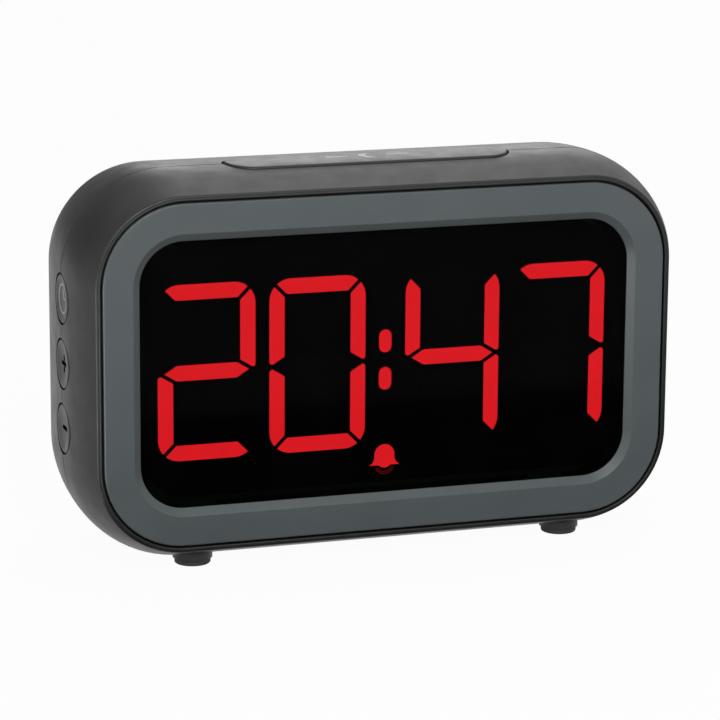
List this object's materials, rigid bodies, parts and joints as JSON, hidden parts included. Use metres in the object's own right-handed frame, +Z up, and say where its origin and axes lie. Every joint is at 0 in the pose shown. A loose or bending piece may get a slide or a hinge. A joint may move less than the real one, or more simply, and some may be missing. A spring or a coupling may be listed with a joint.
{
  "type": "digital led desk clock",
  "caption": "Barrel-sided desk clock with a framed dark window, glowing seven-segment time, a snooze bar on top, press buttons on one side and rubber feet.",
  "frame": {"origin": "centre of the bounding box at its bottom, on the surface the feet rest on", "axes": "+X to the viewer's right along the width, +Y from the display to the back, +Z up"},
  "size_m": [0.136, 0.039, 0.0848],
  "materials": {
    "case_plastic": "fine satin moulded",
    "bezel_plastic": "satin moulded, cool grey",
    "smoked_lens": "smoked, polished",
    "lit_red": "glowing diffuser",
    "unlit_diffuser": "dark tinted diffuser",
    "reflector_black": "matt black moulded",
    "circuit_board": "solder-masked laminate",
    "led_package": "white package, clear top",
    "chip_black": "moulded package",
    "switch_body": "moulded",
    "switch_plunger": "moulded",
    "crystal_can": "drawn can",
    "capacitor_sleeve": "shrunk sleeve",
    "screw_steel": "zinc plated",
    "foot_rubber": "moulded, matt",
    "cell_jacket": "plain wrapped can",
    "contact_nickel": "nickel plated",
    "buzzer_black": "moulded",
    "inlet_black": "moulded",
    "ribbon_grey": "flat ribbon",
    "lead_insulation": "insulated wire"
  },
  "bodies": {
    "case": {"front_shell": "case_plastic", "rear_shell": "case_plastic", "bezel": "bezel_plastic", "display_lens": "smoked_lens", "hours_tens_lit": "lit_red", "hours_units_lit": "lit_red", "minutes_tens_lit": "lit_red", "minutes_units_lit": "lit_red", "colon_lights": "lit_red", "alarm_bell": "lit_red", "unlit_segments": "unlit_diffuser", "segment_reflector": "reflector_black", "display_board": "circuit_board", "key_board": "circuit_board", "snooze_board": "circuit_board", "led_chips": "led_package", "clock_chip": "chip_black", "set_switch": "switch_body", "plus_switch": "switch_body", "minus_switch": "switch_body", "snooze_switch": "switch_body", "timing_crystal": "crystal_can", "capacitors": "capacitor_sleeve", "case_screws": "screw_steel", "display_board_screws": "screw_steel", "snooze_board_screws": "screw_steel", "foot_front_left": "foot_rubber", "foot_front_right": "foot_rubber", "foot_rear_left": "foot_rubber", "foot_rear_right": "foot_rubber", "backup_cells": "cell_jacket", "battery_contacts": "contact_nickel", "power_inlet_pin": "contact_nickel", "alarm_buzzer": "buzzer_black", "power_inlet": "inlet_black", "key_ribbon": "ribbon_grey", "snooze_ribbon": "ribbon_grey", "power_leads": "lead_insulation", "battery_leads": "lead_insulation", "buzzer_leads": "lead_insulation"},
    "snooze_bar": {"snooze_bar": "case_plastic"},
    "snooze_plunger": {"snooze_plunger": "switch_plunger"},
    "battery_door": {"battery_door": "case_plastic"},
    "set_button": {"set_button": "case_plastic"},
    "set_plunger": {"set_plunger": "switch_plunger"},
    "plus_button": {"plus_button": "case_plastic"},
    "plus_plunger": {"plus_plunger": "switch_plunger"},
    "minus_button": {"minus_button": "case_plastic"},
    "minus_plunger": {"minus_plunger": "switch_plunger"}
  },
  "joints": [
    {"name": "set_press", "type": "slide", "parent": "case", "child": "set_button", "axis": [1, 0, 0], "range_m": [0, 0.0006], "stiffness_N_per_m": 1500},
    {"name": "set_switch_press", "type": "slide", "parent": "case", "child": "set_plunger", "axis": [1, 0, 0], "range_m": [0, 0.0006]},
    {"name": "plus_press", "type": "slide", "parent": "case", "child": "plus_button", "axis": [1, 0, 0], "range_m": [0, 0.0006], "stiffness_N_per_m": 1500},
    {"name": "plus_switch_press", "type": "slide", "parent": "case", "child": "plus_plunger", "axis": [1, 0, 0], "range_m": [0, 0.0006]},
    {"name": "minus_press", "type": "slide", "parent": "case", "child": "minus_button", "axis": [1, 0, 0], "range_m": [0, 0.0006], "stiffness_N_per_m": 1500},
    {"name": "minus_switch_press", "type": "slide", "parent": "case", "child": "minus_plunger", "axis": [1, 0, 0], "range_m": [0, 0.0006]},
    {"name": "snooze_press", "type": "slide", "parent": "case", "child": "snooze_bar", "axis": [0, 0, -1], "range_m": [0, 0.0008], "stiffness_N_per_m": 2000},
    {"name": "snooze_switch_press", "type": "slide", "parent": "case", "child": "snooze_plunger", "axis": [0, 0, -1], "range_m": [0, 0.0008]},
    {"name": "battery_door_tilt", "type": "hinge", "parent": "case", "child": "battery_door", "pos_m": [-0.006, 0.0195, 0.02435], "axis": [-1, 0, 0], "range_deg": [0, 35]}
  ],
  "couplings": [
    {"joint": "set_switch_press", "follows": "set_press", "ratio": 1},
    {"joint": "plus_switch_press", "follows": "plus_press", "ratio": 1},
    {"joint": "minus_switch_press", "follows": "minus_press", "ratio": 1},
    {"joint": "snooze_switch_press", "follows": "snooze_press", "ratio": 1}
  ]
}
